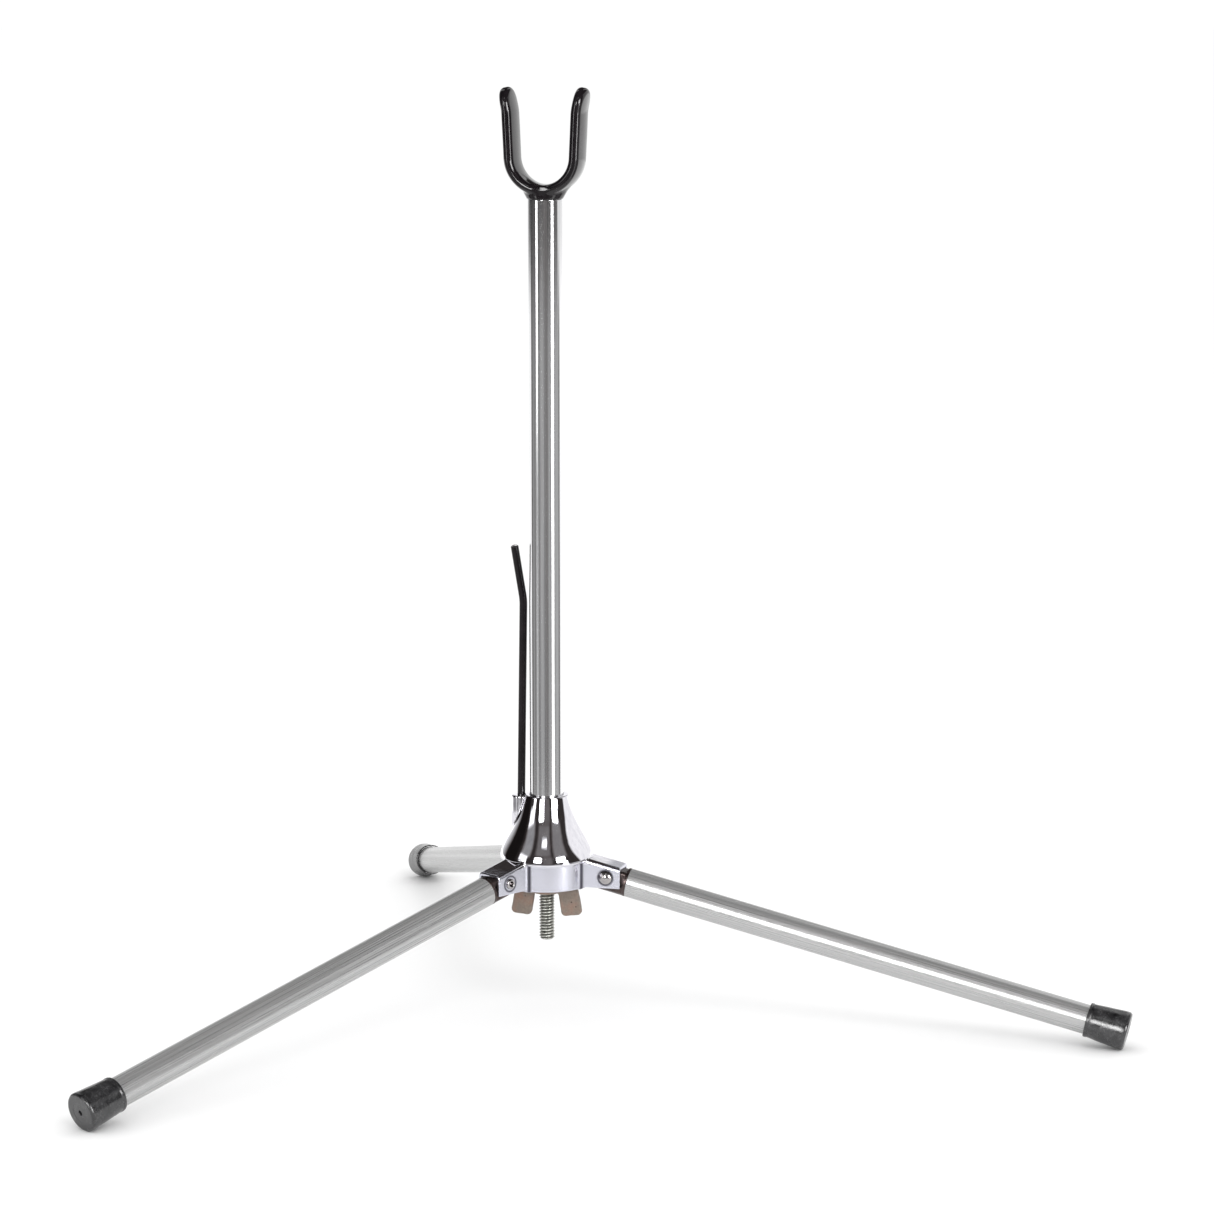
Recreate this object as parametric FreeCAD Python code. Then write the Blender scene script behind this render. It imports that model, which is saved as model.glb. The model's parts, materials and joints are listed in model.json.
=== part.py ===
import FreeCAD, Part
import math
import os

from FreeCAD import Placement, Rotation, Vector

# A small folding tripod stand for a recurve bow. The mast stands in the socket of a cast hub, three
# legs hinge in the hub's channels, and a padded fork on top of the mast cradles the bow.
#
# Frame: millimetres, +Z up. The origin is on the floor, on the mast's axis. Leg 1 points along +X,
# legs 2 and 3 follow at 120 and 240 degrees, and the string clip stands on the -X side of the mast.

# ---- driving dimensions ----
LEG_COUNT = 3
LEG_SLOPE = 13.15           # degrees that an open leg falls towards its foot
LEG_LENGTH = 222.0          # pivot to the outer end of the foot cap, along the leg
PIVOT_RADIUS = 26.8         # leg pivot to the mast's axis
PIVOT_RISE = 0.9            # the pivot lies this much above the leg tube's centre line
RIM_ROUND = 1.2             # rounding of the foot cap's outer rim
FOOT_FLAT = 0.25            # how much of the cap's rim is worn flat where it meets the floor

LEG_TUBE_R = 6.0
LEG_TUBE_WALL = 1.0
CAP_LENGTH = 17.0
CAP_MOUTH_R = 6.9
CAP_END_R = 7.9
CAP_END_WALL = 2.5
VENT_R = 0.55

KNUCKLE_HALF = 4.4          # half the width of the tongue between the cheeks
SHOULDER_START = 7.75       # shoulder disc, measured along the leg from the pivot
TUBE_START = 8.9
SPIGOT_END = 26.0

RIVET_R = 1.5
RIVET_HEAD_R = 3.0
RIVET_HEAD_H = 1.7
RIVET_TAIL_R = 2.15
RIVET_TAIL_H = 0.9
RUNNING_GAP = 0.05          # radial clearance of every turning fit

BAND_R = 17.4               # upright wall below the bell
BAND_ROUND = 0.5
RECESS_R = 15.2             # hollow under the hub that takes the wing nut
BEARING_R = 9.0             # boss in the hollow that the washers bear on
MOAT_DEPTH = 6.0            # how far the hollow goes up around that boss
BRIM_R = 19.4
BRIM_LIP = 1.0              # height of the rolled lip under the brim
COLLAR_R = 9.3
WEB_THICK = 5.0             # floor of the mast's socket
# Flank of the bell from brim to collar: (radius, height above the brim's lower face).
BELL_FLANK = [(18.7, 3.9), (15.0, 10.9), (11.7, 17.7), (9.95, 23.5)]

CHEEK_OUT = 6.1             # half the channel's outside width
CHEEK_IN = 4.6              # half the channel's inside width
CHANNEL_REACH = 33.0        # radius of the channel's open outer end
CHANNEL_FLOOR = -4.6        # channel's lower edge, from the pivot's height
ROOF_OUT = 5.4              # roof's upper face, square to the leg, above the pivot
ROOF_IN = 3.9
ROOF_ROUND = 1.7
CHEEK_ROUND = 0.7           # lower outer corner of each cheek
WAIST_ROUND = 2.2           # where the band's wall turns out into a channel

MAST_R = 7.0
MAST_WALL = 1.5
MAST_LENGTH = 273.7
FOOT_PLUG_H = 18.0

STUD_R = 3.175              # quarter-inch stud
STUD_BELOW_WEB = 28.8       # how far the stud hangs below the hub's web
STUD_IN_PLUG = 13.0
STUD_CHAMFER = 0.8

WASHER_R = 8.0
WASHER_H = 1.2
LOCK_WASHER_R = 6.1
LOCK_WASHER_H = 1.5
LOCK_WASHER_SLIT = 1.0
WASHER_HOLE_R = 3.4
NUT_BORE_R = STUD_R + RUNNING_GAP
NUT_BOSS_TOP_R = 6.4
NUT_BOSS_LOW_R = 5.5
NUT_BOSS_H = 6.2
NUT_HEIGHT = 16.3
WING_THICK = 2.8
WING_AZIMUTH = 5.0

FORK_GAP = 22.3             # clear width between the prongs at the bend
FORK_THICK = 5.0            # coated bar, seen edge on
FORK_WIDTH = 15.0           # coated bar, front to back
FORK_ROUND = 2.3
COATING = 0.8
PRONG_SPLAY = 2.6           # degrees each prong leans out
TIP_SPLAY = 8.5             # further degrees at the tips
TIP_BEND_R = 20.0
PRONG_LENGTH = 17.3
TIP_STRAIGHT = 0.6
BOOT_R = 7.3
BOOT_H = 5.1
BOOT_TOP_X = 10.3
FORK_SPIGOT = 20.0
FORK_LIFT = 1.1             # underside of the bend above the top of the mast

CLIP_R = 1.65
CLIP_BASE_R = 10.9          # clip rod's distance from the mast's axis, at the top of its boss
CLIP_NECK_R = 9.7           # where it comes closest to the mast
CLIP_TIP_R = 13.45
CLIP_NECK_Z = 82.0          # heights above the top of the boss
CLIP_TIP_Z = 104.5
CLIP_BEND_R = 25.0
CLIP_SEAT = 11.0
CLIP_BOSS_R = 4.1

# ---- heights that follow ----
SLOPE = math.radians(LEG_SLOPE)
# The cap's rim is a quarter round, so its lowest point lies one rounding below the rim's centre.
RIM_DROP = (CAP_END_R - RIM_ROUND) * math.cos(SLOPE) + RIM_ROUND
RIM_CENTRE_ABOVE_END = RIM_ROUND * math.sin(SLOPE)
CAP_END_Z = RIM_DROP - RIM_CENTRE_ABOVE_END - FOOT_FLAT
PIVOT_Z = CAP_END_Z + LEG_LENGTH * math.sin(SLOPE) + PIVOT_RISE * math.cos(SLOPE)
BAND_LOW = PIVOT_Z - 5.3
BRIM_LOW = PIVOT_Z + 5.8
WEB_LOW = PIVOT_Z - 0.2
WEB_TOP = WEB_LOW + WEB_THICK
COLLAR_TOP = PIVOT_Z + 32.8
BOSS_TOP = COLLAR_TOP - 0.9
MAST_TOP = WEB_TOP + MAST_LENGTH
FORK_BEND_R = (FORK_GAP + FORK_THICK) / 2
FORK_BEND_Z = MAST_TOP + FORK_LIFT + FORK_THICK + FORK_GAP / 2

Z_AXIS = Vector(0, 0, 1)
Y_AXIS = Vector(0, 1, 0)
ORIGIN = Vector(0, 0, 0)


def save(shape, node):
    """Writes one node, after a check that it is sound."""
    assert shape.isValid(), node
    assert all(solid.Volume > 0 for solid in shape.Solids), node
    shape.exportStep(f"parts/{node}.step")


def rod(radius, start, end):
    """A round rod between two points."""
    along = end - start
    return Part.makeCylinder(radius, along.Length, start, along)


def turned(outline):
    """A solid of revolution about Z from a closed list of (radius, height) corners."""
    points = [Vector(r, 0, z) for r, z in outline]
    face = Part.Face(Part.makePolygon(points + points[:1]))
    return face.revolve(ORIGIN, Z_AXIS, 360)


def slab(corners, low_y, high_y):
    """A plate between two Y values from a closed list of (x, z) corners."""
    points = [Vector(x, low_y, z) for x, z in corners]
    face = Part.Face(Part.makePolygon(points + points[:1]))
    return face.extrude(Vector(0, high_y - low_y, 0))


def leg_placement():
    """From the leg's own frame (pivot at the origin, +X outward along the tube) to open leg 1."""
    return Placement(Vector(PIVOT_RADIUS, 0, PIVOT_Z), Rotation(Y_AXIS, LEG_SLOPE))


def at_leg(shape, number):
    """Turns a shape that was made for leg 1 round to another leg's place."""
    copy = shape.copy()
    copy.rotate(ORIGIN, Z_AXIS, 360.0 / LEG_COUNT * (number - 1))
    return copy


def open_leg(shape):
    """Puts a shape made in the leg's own frame in its open place on leg 1."""
    copy = shape.copy()
    copy.Placement = leg_placement().multiply(copy.Placement)
    return copy


def leg_axis(distance):
    """A point on the leg tube's centre line, in the leg's own frame."""
    return Vector(distance, 0, -PIVOT_RISE)


# ---- hub ----
def bell():
    """The bell from the socket's collar down to the brim, then the band: a solid of revolution."""
    collar_edge = (COLLAR_R, COLLAR_TOP - BAND_ROUND - BRIM_LOW)
    rises = [(BRIM_R, BRIM_LIP)] + BELL_FLANK + [collar_edge]
    flank = Part.BSplineCurve()
    flank.interpolate([Vector(r, 0, BRIM_LOW + rise) for r, rise in rises])
    lip = Part.Arc(
        Vector(BRIM_R - 0.8, 0, BRIM_LOW),
        Vector(BRIM_R - 0.2, 0, BRIM_LOW + 0.25 * BRIM_LIP),
        Vector(BRIM_R, 0, BRIM_LOW + BRIM_LIP),
    )
    corners = [
        Vector(COLLAR_R, 0, COLLAR_TOP - BAND_ROUND),
        Vector(COLLAR_R - BAND_ROUND, 0, COLLAR_TOP),
        Vector(0, 0, COLLAR_TOP),
        Vector(0, 0, BAND_LOW),
        Vector(BAND_R - BAND_ROUND, 0, BAND_LOW),
        Vector(BAND_R, 0, BAND_LOW + BAND_ROUND),
        Vector(BAND_R, 0, BRIM_LOW - BAND_ROUND),
        Vector(BAND_R + BAND_ROUND, 0, BRIM_LOW),
        Vector(BRIM_R - 0.8, 0, BRIM_LOW),
    ]
    edges = [flank.toShape(), lip.toShape()]
    edges += [Part.makeLine(a, b) for a, b in zip(corners, corners[1:])]
    outline = Part.Wire(Part.__sortEdges__(edges))
    return Part.Face(outline).revolve(ORIGIN, Z_AXIS, 360)


def roof_height(radius, offset):
    """Height of a line parallel to the open leg, a square distance above the pivot."""
    return PIVOT_Z + offset / math.cos(SLOPE) - (radius - PIVOT_RADIUS) * math.tan(SLOPE)


def channel():
    """Outside of one leg channel, with rounded roof edges."""
    floor = PIVOT_Z + CHANNEL_FLOOR
    inner = 12.0
    side = [
        (inner, floor),
        (CHANNEL_REACH, floor),
        (CHANNEL_REACH, roof_height(CHANNEL_REACH, ROOF_OUT)),
        (inner, roof_height(inner, ROOF_OUT)),
    ]
    block = slab(side, -CHEEK_OUT, CHEEK_OUT)
    toe = [e for e in block.Edges if e.CenterOfMass.isEqual(Vector(CHANNEL_REACH, 0, floor), 0.01)]
    block = block.makeFillet(CHEEK_ROUND, toe)
    ridges = [e for e in block.Edges if abs(e.CenterOfMass.y) > CHEEK_OUT - 0.01 and is_ridge(e)]
    return block.makeFillet(ROOF_ROUND, ridges)


def is_ridge(edge):
    """Whether an edge runs along the top of a channel."""
    return edge.Length > 10 and edge.CenterOfMass.z > PIVOT_Z + 3


def channel_space():
    """The space inside one leg channel, open below and at its outer end, with the rivet's holes."""
    wall = 18.4
    low = BAND_LOW - 5
    side = [
        (wall, low),
        (CHANNEL_REACH + 5, low),
        (CHANNEL_REACH + 5, roof_height(CHANNEL_REACH + 5, ROOF_IN)),
        (wall, roof_height(wall, ROOF_IN)),
    ]
    space = slab(side, -CHEEK_IN, CHEEK_IN)
    hole_start = Vector(PIVOT_RADIUS, -CHEEK_OUT - 1, PIVOT_Z)
    hole_end = Vector(PIVOT_RADIUS, CHEEK_OUT + 1, PIVOT_Z)
    return space.fuse(rod(RIVET_R, hole_start, hole_end))


def is_waist(edge):
    """Whether an upright edge lies where the band meets the side of a channel."""
    ends = [vertex.Point for vertex in edge.Vertexes]
    upright = len(ends) == 2 and math.hypot(ends[0].x - ends[1].x, ends[0].y - ends[1].y) < 0.01
    return upright and abs(math.hypot(ends[0].x, ends[0].y) - BAND_R) < 0.01


def hub_casting():
    """Bell, band, three leg channels and the clip rod's boss in one casting."""
    boss_foot = Vector(-CLIP_BASE_R, 0, BRIM_LOW)
    boss = rod(CLIP_BOSS_R, boss_foot, Vector(-CLIP_BASE_R, 0, BOSS_TOP))
    boss = boss.makeFillet(0.6, [boss.Edges[0]])
    outside = bell().fuse([boss] + [at_leg(channel(), n) for n in range(1, LEG_COUNT + 1)])
    outside = outside.removeSplitter()
    outside = outside.makeFillet(WAIST_ROUND, [edge for edge in outside.Edges if is_waist(edge)])
    socket = rod(MAST_R + RUNNING_GAP, Vector(0, 0, WEB_TOP), Vector(0, 0, COLLAR_TOP + 1))
    stud_hole = rod(WASHER_HOLE_R, Vector(0, 0, BAND_LOW - 1), Vector(0, 0, COLLAR_TOP))
    recess = rod(RECESS_R, Vector(0, 0, BAND_LOW - 1), Vector(0, 0, WEB_LOW))
    moat_top = WEB_LOW + MOAT_DEPTH
    moat = turned(
        [
            (BEARING_R, WEB_LOW - 1),
            (RECESS_R, WEB_LOW - 1),
            (RECESS_R - 0.6, moat_top),
            (BEARING_R + 0.4, moat_top),
        ]
    )
    cuts = [socket, stud_hole, recess, moat, clip_rod()]
    cuts += [at_leg(channel_space(), n) for n in range(1, LEG_COUNT + 1)]
    return outside.cut(cuts).removeSplitter()


# ---- string clip ----
def clip_rod():
    """The sprung rod beside the mast: it leans in to a neck, then turns out to its tip."""
    base = Vector(-CLIP_BASE_R, 0, BOSS_TOP)
    neck = Vector(-CLIP_NECK_R, 0, BOSS_TOP + CLIP_NECK_Z)
    tip = Vector(-CLIP_TIP_R, 0, BOSS_TOP + CLIP_TIP_Z)
    up = (neck - base).normalize()
    out = (tip - neck).normalize()
    turn = up.getAngle(out)
    run = CLIP_BEND_R * math.tan(turn / 2)
    bend_start = neck - up * run
    bend_end = neck + out * run
    seat = base - up * CLIP_SEAT
    centre = bend_start + Vector(-up.z, 0, up.x) * CLIP_BEND_R
    lower = rod(CLIP_R, seat, bend_start)
    disc = Part.Face(Part.Wire(Part.makeCircle(CLIP_R, bend_start, up)))
    bend = disc.revolve(centre, Vector(0, -1, 0), math.degrees(turn))
    upper = rod(CLIP_R, bend_end, tip)
    upper = upper.makeFillet(0.5, [top_edge(upper)])
    return lower.fuse([bend, upper]).removeSplitter()


def top_edge(shape):
    """The edge whose middle lies highest."""
    return max(shape.Edges, key=lambda edge: edge.CenterOfMass.z)


# ---- leg rivets ----
def leg_rivet():
    """A domed rivet through a channel: head on the -Y side, hollow clinched tail on the +Y side."""
    reach = CHEEK_OUT + RIVET_TAIL_H
    shank = rod(RIVET_R, Vector(0, -CHEEK_OUT, 0), Vector(0, reach, 0))
    dome_r = (RIVET_HEAD_R**2 + RIVET_HEAD_H**2) / (2 * RIVET_HEAD_H)
    dome = Part.makeSphere(dome_r, Vector(0, -CHEEK_OUT - RIVET_HEAD_H + dome_r, 0))
    head = dome.common(rod(RIVET_HEAD_R + 1, Vector(0, -CHEEK_OUT - 5, 0), Vector(0, -CHEEK_OUT, 0)))
    tail = rod(RIVET_TAIL_R, Vector(0, CHEEK_OUT, 0), Vector(0, reach, 0))
    tail = tail.makeFillet(0.6, [max(tail.Edges, key=lambda edge: edge.CenterOfMass.y)])
    hollow = rod(1.0, Vector(0, reach - 3.0, 0), Vector(0, reach + 1, 0))
    rivet = shank.fuse([head, tail]).cut(hollow)
    rivet.translate(Vector(PIVOT_RADIUS, 0, PIVOT_Z))
    return rivet


# ---- legs, in the leg's own frame ----
def leg_knuckle():
    """The hinge piece: a flat tongue on the rivet, a shoulder, and a spigot inside the tube."""
    top = ROOF_IN - 0.05
    middle = math.radians(150)
    last = math.radians(205)
    arc = Part.Arc(
        Vector(0, -KNUCKLE_HALF, top),
        Vector(top * math.cos(middle), -KNUCKLE_HALF, top * math.sin(middle)),
        Vector(top * math.cos(last), -KNUCKLE_HALF, top * math.sin(last)),
    )
    heel = Vector(-2.6, -KNUCKLE_HALF, -8)
    toe = Vector(SHOULDER_START + 0.5, -KNUCKLE_HALF, -8)
    crown = Vector(SHOULDER_START + 0.5, -KNUCKLE_HALF, top)
    corners = [arc.EndPoint, heel, toe, crown, arc.StartPoint]
    edges = [arc.toShape()] + [Part.makeLine(a, b) for a, b in zip(corners, corners[1:])]
    side = Part.Face(Part.Wire(Part.__sortEdges__(edges)))
    tongue = side.extrude(Vector(0, 2 * KNUCKLE_HALF, 0))
    tongue = tongue.common(rod(LEG_TUBE_R, leg_axis(-8), leg_axis(TUBE_START)))
    shoulder = rod(LEG_TUBE_R, leg_axis(SHOULDER_START), leg_axis(TUBE_START))
    spigot = rod(LEG_TUBE_R - LEG_TUBE_WALL, leg_axis(TUBE_START - 0.5), leg_axis(SPIGOT_END))
    spigot = spigot.makeChamfer(0.6, [max(spigot.Edges, key=lambda edge: edge.CenterOfMass.x)])
    hole = rod(RIVET_R + RUNNING_GAP, Vector(0, -10, 0), Vector(0, 10, 0))
    return tongue.fuse([shoulder, spigot]).cut(hole).removeSplitter()


def leg_tube():
    """The leg's aluminium tube, from the knuckle's shoulder to the bottom of the foot cap."""
    start = leg_axis(TUBE_START)
    end = leg_axis(LEG_LENGTH - CAP_END_WALL)
    return rod(LEG_TUBE_R, start, end).cut(rod(LEG_TUBE_R - LEG_TUBE_WALL, start, end))


def foot_cap():
    """The rubber cap: tapered outside, blind bore, rounded rim and a vent hole in its end."""
    mouth = LEG_LENGTH - CAP_LENGTH
    end = LEG_LENGTH
    bead = CAP_MOUTH_R + 0.25
    diagonal = RIM_ROUND * (1 - math.sqrt(0.5))
    rim = Part.Arc(
        Vector(CAP_END_R, 0, end - RIM_ROUND),
        Vector(CAP_END_R - diagonal, 0, end - diagonal),
        Vector(CAP_END_R - RIM_ROUND, 0, end),
    )
    bore_end = end - CAP_END_WALL
    corners = [
        rim.EndPoint,
        Vector(VENT_R, 0, end),
        Vector(VENT_R, 0, bore_end),
        Vector(LEG_TUBE_R, 0, bore_end),
        Vector(LEG_TUBE_R, 0, mouth),
        Vector(bead - 0.4, 0, mouth),
        Vector(bead, 0, mouth + 0.4),
        Vector(bead, 0, mouth + 1.2),
        Vector(CAP_MOUTH_R + 0.1, 0, mouth + 1.6),
        rim.StartPoint,
    ]
    edges = [rim.toShape()] + [Part.makeLine(a, b) for a, b in zip(corners, corners[1:])]
    cap = Part.Face(Part.Wire(Part.__sortEdges__(edges))).revolve(ORIGIN, Z_AXIS, 360)
    cap.Placement = Placement(Vector(0, 0, -PIVOT_RISE), Rotation(Y_AXIS, 90))
    return cap


def worn_flat(cap):
    """Takes off the sliver of a standing cap that would lie below the floor."""
    below_floor = Part.makeBox(60, 60, 10, Vector(PIVOT_RADIUS + LEG_LENGTH - 50, -30, -10))
    return cap.cut(below_floor)


# ---- mast ----
def mast_tube():
    """The mast's aluminium tube, standing on the hub's web."""
    bottom = Vector(0, 0, WEB_TOP)
    top = Vector(0, 0, MAST_TOP)
    return rod(MAST_R, bottom, top).cut(rod(MAST_R - MAST_WALL, bottom, top))


def mast_foot_plug():
    """The plug in the mast's lower end, tapped for the stud."""
    bottom = Vector(0, 0, WEB_TOP)
    plug = rod(MAST_R - MAST_WALL, bottom, bottom + Z_AXIS * FOOT_PLUG_H)
    plug = plug.makeChamfer(0.6, [top_edge(plug)])
    return plug.cut(rod(STUD_R, bottom - Z_AXIS, bottom + Z_AXIS * STUD_IN_PLUG))


def threaded_stud():
    """The stud from the mast's plug down through the hub, drawn at its crest diameter."""
    bottom = Vector(0, 0, WEB_LOW - STUD_BELOW_WEB)
    stud = rod(STUD_R, bottom, Vector(0, 0, WEB_TOP + STUD_IN_PLUG))
    return stud.makeChamfer(STUD_CHAMFER, [min(stud.Edges, key=lambda edge: edge.CenterOfMass.z)])


# ---- clamp ----
def washer(radius, height, top):
    """A plain ring under the hub's web."""
    low = Vector(0, 0, top - height)
    ring = rod(radius, low, Vector(0, 0, top))
    return ring.cut(rod(WASHER_HOLE_R, low, Vector(0, 0, top)))


def lock_washer():
    """A spring washer, split at one side."""
    top = WEB_LOW - WASHER_H
    ring = washer(LOCK_WASHER_R, LOCK_WASHER_H, top)
    slit = Part.makeBox(10, LOCK_WASHER_SLIT, 4, Vector(0, -LOCK_WASHER_SLIT / 2, top - 3))
    return ring.cut(slit)


def wing():
    """One wing of the nut, hanging down and leaning outward, in the nut's own frame."""
    root = [(5.0, -NUT_BOSS_H + 0.2), (3.8, -0.8), (7.2, -1.2), (12.2, -3.4), (13.3, -5.2)]
    corners = root + [(15.2, -15.2), (6.5, -NUT_HEIGHT)]
    plate = slab(corners, -WING_THICK / 2, WING_THICK / 2)
    tips = [
        edge
        for edge in plate.Edges
        if abs(edge.CenterOfMass.y) < 0.01 and edge.CenterOfMass.z < -14
    ]
    return plate.makeFillet(1.7, tips)


def wing_nut():
    """The wing nut, boss up, that draws the mast down into the hub."""
    boss = turned(
        [
            (0, 0),
            (NUT_BOSS_TOP_R - 0.4, 0),
            (NUT_BOSS_TOP_R, -0.4),
            (NUT_BOSS_TOP_R, -1.4),
            (NUT_BOSS_LOW_R, -NUT_BOSS_H),
            (0, -NUT_BOSS_H),
        ]
    )
    left = wing()
    left.rotate(ORIGIN, Z_AXIS, 180)
    bore = rod(NUT_BORE_R, Vector(0, 0, -NUT_HEIGHT - 1), Vector(0, 0, 1))
    nut = boss.fuse([wing(), left]).cut(bore).removeSplitter()
    nut.rotate(ORIGIN, Z_AXIS, WING_AZIMUTH)
    nut.translate(Vector(0, 0, WEB_LOW - WASHER_H - LOCK_WASHER_H))
    return nut


# ---- fork ----
def bar_section(thick, width, rounding, origin, lean, half=False):
    """The bar's rounded section, square to a direction that leans from +Z towards +X."""
    block = Part.makeBox(thick, width, 1, Vector(-thick / 2, -width / 2, 0))
    block = block.makeFillet(rounding, [e for e in block.Edges if abs(e.CenterOfMass.z - 0.5) < 0.01])
    face = min(block.Faces, key=lambda f: f.CenterOfMass.z)
    if half:
        face = face.common(Part.makeBox(thick, width, 2, Vector(-thick / 2, 0, -1)))
    face.Placement = Placement(origin, Rotation(Y_AXIS, lean)).multiply(face.Placement)
    return face


def leaning(lean):
    """The direction that leans from +Z towards +X."""
    return Vector(math.sin(math.radians(lean)), 0, math.cos(math.radians(lean)))


def prong(thick, width, rounding):
    """One half of the fork: quarter bend, splayed prong, turned-out round tip."""
    centre = Vector(0, 0, FORK_BEND_Z)

    def section(origin, lean, half=False):
        return bar_section(thick, width, rounding, origin, lean, half)

    keel = section(centre - Z_AXIS * FORK_BEND_R, 90)
    bend = keel.revolve(centre, Y_AXIS * -1, 90 - PRONG_SPLAY)
    across = leaning(PRONG_SPLAY + 90)
    shoulder = centre + across * FORK_BEND_R
    straight = section(shoulder, PRONG_SPLAY).extrude(leaning(PRONG_SPLAY) * PRONG_LENGTH)
    flare_start = shoulder + leaning(PRONG_SPLAY) * PRONG_LENGTH
    flare_centre = flare_start + across * TIP_BEND_R
    flare = section(flare_start, PRONG_SPLAY).revolve(flare_centre, Y_AXIS, TIP_SPLAY)
    lean = PRONG_SPLAY + TIP_SPLAY
    flare_end = flare_centre - leaning(lean + 90) * TIP_BEND_R
    tip_start = flare_end + leaning(lean) * TIP_STRAIGHT
    tip = section(flare_end, lean).extrude(leaning(lean) * TIP_STRAIGHT)
    crown = section(tip_start, lean, half=True).revolve(tip_start, leaning(lean + 90), 180)
    return bend.fuse([straight, flare, tip, crown])


def fork_bar(thick, width, rounding):
    """The whole U, made of a prong and its mirror image."""
    right = prong(thick, width, rounding)
    left = right.mirror(ORIGIN, Vector(1, 0, 0))
    return right.fuse(left).removeSplitter()


def fork_core():
    """The bent steel bar of the fork, with the round spigot that plugs into the mast."""
    bar = fork_bar(FORK_THICK - 2 * COATING, FORK_WIDTH - 2 * COATING, FORK_ROUND - COATING)
    top = Vector(0, 0, FORK_BEND_Z - FORK_BEND_R)
    spigot = rod(MAST_R - MAST_WALL, Vector(0, 0, MAST_TOP - FORK_SPIGOT), top)
    return bar.fuse(spigot).removeSplitter()


def fork_coating(core):
    """The dipped vinyl skin over the whole fork, with the boot that meets the top of the mast."""
    skin = fork_bar(FORK_THICK, FORK_WIDTH, FORK_ROUND)
    low = Part.Wire(Part.makeCircle(BOOT_R, Vector(0, 0, MAST_TOP), Z_AXIS))
    oval = Part.Ellipse(Vector(0, 0, MAST_TOP + BOOT_H), BOOT_TOP_X, BOOT_R)
    high = Part.Wire(oval.toShape())
    boot = Part.makeLoft([low, high], True, True)
    return skin.fuse(boot).cut(core)


def main():
    os.makedirs("parts", exist_ok=True)
    save(hub_casting(), "hub_casting")
    save(clip_rod(), "clip_rod")
    save(mast_tube(), "mast_tube")
    save(mast_foot_plug(), "mast_foot_plug")
    save(threaded_stud(), "threaded_stud")
    save(washer(WASHER_R, WASHER_H, WEB_LOW), "flat_washer")
    save(lock_washer(), "lock_washer")
    save(wing_nut(), "wing_nut")
    core = fork_core()
    save(core, "fork_core")
    save(fork_coating(core), "fork_coating")
    leg_pieces = {
        "leg_rivet": leg_rivet(),
        "leg_knuckle": open_leg(leg_knuckle()),
        "leg_tube": open_leg(leg_tube()),
        "foot_cap": worn_flat(open_leg(foot_cap())),
    }
    for number in range(1, LEG_COUNT + 1):
        for name, shape in leg_pieces.items():
            save(at_leg(shape, number), f"{name}_{number}")
    print(f"pivot height {PIVOT_Z:.3f}, mast top {MAST_TOP:.3f}, web {WEB_LOW:.3f} to {WEB_TOP:.3f}")


main()
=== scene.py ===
import json
import math

import bpy
import numpy as np
from mathutils import Matrix, Vector


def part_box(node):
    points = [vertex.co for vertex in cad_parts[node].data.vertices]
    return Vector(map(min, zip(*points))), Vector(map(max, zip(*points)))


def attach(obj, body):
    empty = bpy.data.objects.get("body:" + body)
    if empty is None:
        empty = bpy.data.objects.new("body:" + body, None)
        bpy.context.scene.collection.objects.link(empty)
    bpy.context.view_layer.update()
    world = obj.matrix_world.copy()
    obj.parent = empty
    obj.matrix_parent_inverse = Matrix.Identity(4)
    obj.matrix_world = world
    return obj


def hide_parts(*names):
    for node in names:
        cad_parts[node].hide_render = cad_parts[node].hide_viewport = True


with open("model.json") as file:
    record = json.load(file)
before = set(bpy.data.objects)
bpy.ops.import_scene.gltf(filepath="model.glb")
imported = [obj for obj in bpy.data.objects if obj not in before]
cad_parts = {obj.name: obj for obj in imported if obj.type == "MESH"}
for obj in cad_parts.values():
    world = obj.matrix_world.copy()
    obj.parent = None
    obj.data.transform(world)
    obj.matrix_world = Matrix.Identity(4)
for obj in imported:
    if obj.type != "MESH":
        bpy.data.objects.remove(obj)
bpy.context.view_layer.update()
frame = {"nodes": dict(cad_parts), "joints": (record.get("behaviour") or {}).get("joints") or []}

# A folding tripod stand for a recurve bow. Shapes are worked out in millimetres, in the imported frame's
# axes, and written as metres. Heights and places come from the frame's own boxes and joints.
MM = 0.001


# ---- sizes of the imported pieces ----
def edge_mm(node, axis, side):
    """One face of a node's box in millimetres: side 0 is the low one, 1 the high one."""
    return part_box(node)[side][axis] / MM


LEG_COUNT = 3
LEG_SLOPE = math.radians(13.15)
leg_joint = next(j for j in frame["joints"] if j["name"] == "leg_1_fold")
PIVOT_RADIUS = leg_joint["pos_m"][0] / MM
PIVOT_Z = leg_joint["pos_m"][2] / MM
LEG_LENGTH = 222.0
PIVOT_RISE = 0.9

HUB_LOW = edge_mm("hub_casting", 2, 0)
HUB_TOP = edge_mm("hub_casting", 2, 1)
MAST_LOW = edge_mm("mast_tube", 2, 0)
MAST_TOP = edge_mm("mast_tube", 2, 1)
WEB_LOW = edge_mm("flat_washer", 2, 1)
MAST_R = edge_mm("mast_tube", 0, 1)
STUD_LOW = edge_mm("threaded_stud", 2, 0)
NUT_TOP = edge_mm("wing_nut", 2, 1)

BRIM_LOW = PIVOT_Z + 5.8
BOSS_TOP = HUB_TOP - 0.9
TUBE_R = 6.0
SHOULDER_START = 7.75
TUBE_START = 8.9
CAP_LENGTH = 17.0
CAP_END_R = 7.9
CAP_MOUTH_R = 6.9
CAP_WALL = 2.5
VENT_R = 0.9


# ---- meshes ----
def as_array(values):
    return np.asarray(values, dtype=np.float64)


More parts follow.
